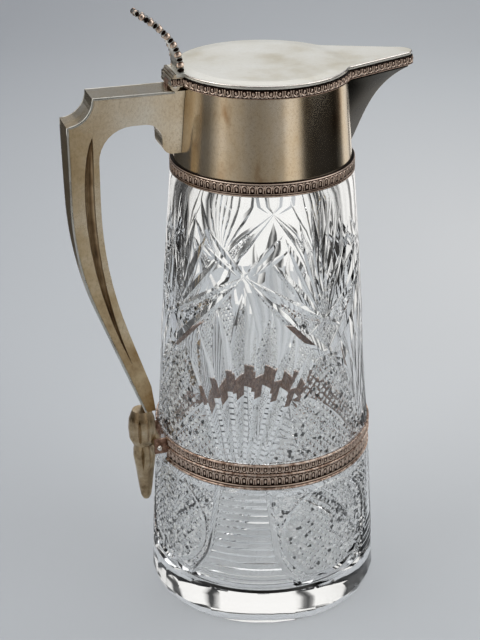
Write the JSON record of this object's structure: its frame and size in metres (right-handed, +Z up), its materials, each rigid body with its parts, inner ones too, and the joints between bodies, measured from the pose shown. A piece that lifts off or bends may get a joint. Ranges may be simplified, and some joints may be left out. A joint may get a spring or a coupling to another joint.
{
  "type": "claret jug",
  "caption": "Tall tapering cut-glass serving jug with a silver-plated collar, covered V-shaped spout, hinged flat lid with a curled thumbpiece, square-shouldered handle and waist band.",
  "frame": {"origin": "on the jug's axis, at the flat face it stands on", "axes": "+Z up along the jug's axis, +X toward the spout, the handle along -X"},
  "size_m": [0.1716, 0.1198, 0.3065],
  "materials": {
    "cut_glass": "clear cut and polished lead glass",
    "silver": "polished silver plate with a warm tarnish",
    "dark_silver": "silver plate, tarnished dark in the relief",
    "cement": "dull white plaster"
  },
  "bodies": {
    "jug": {"glass_body": "cut_glass", "neck_cement": "cement", "collar": "silver", "collar_moulding": "dark_silver", "collar_bezel": "silver", "spout": "silver", "fixed_knuckle": "silver", "handle_spine": "silver", "handle_left_cheek": "silver", "handle_right_cheek": "silver", "handle_foot": "silver", "husk_upper": "silver", "husk_lower": "silver", "waist_strap": "dark_silver", "waist_wire_upper": "silver", "waist_wire_middle": "silver", "waist_wire_lower": "silver", "clamp_screw": "silver", "clamp_nut": "silver"},
    "lid": {"lid_plate": "silver", "lid_moulding": "dark_silver", "lid_flange": "silver", "lid_hinge_block": "dark_silver", "thumbpiece": "silver", "hinge_pin": "silver"}
  },
  "joints": [
    {"name": "lid_hinge", "type": "hinge", "parent": "jug", "child": "lid", "pos_m": [-0.0444, 0, 0.2723], "axis": [0, -1, 0], "range_deg": [0, 64]}
  ]
}
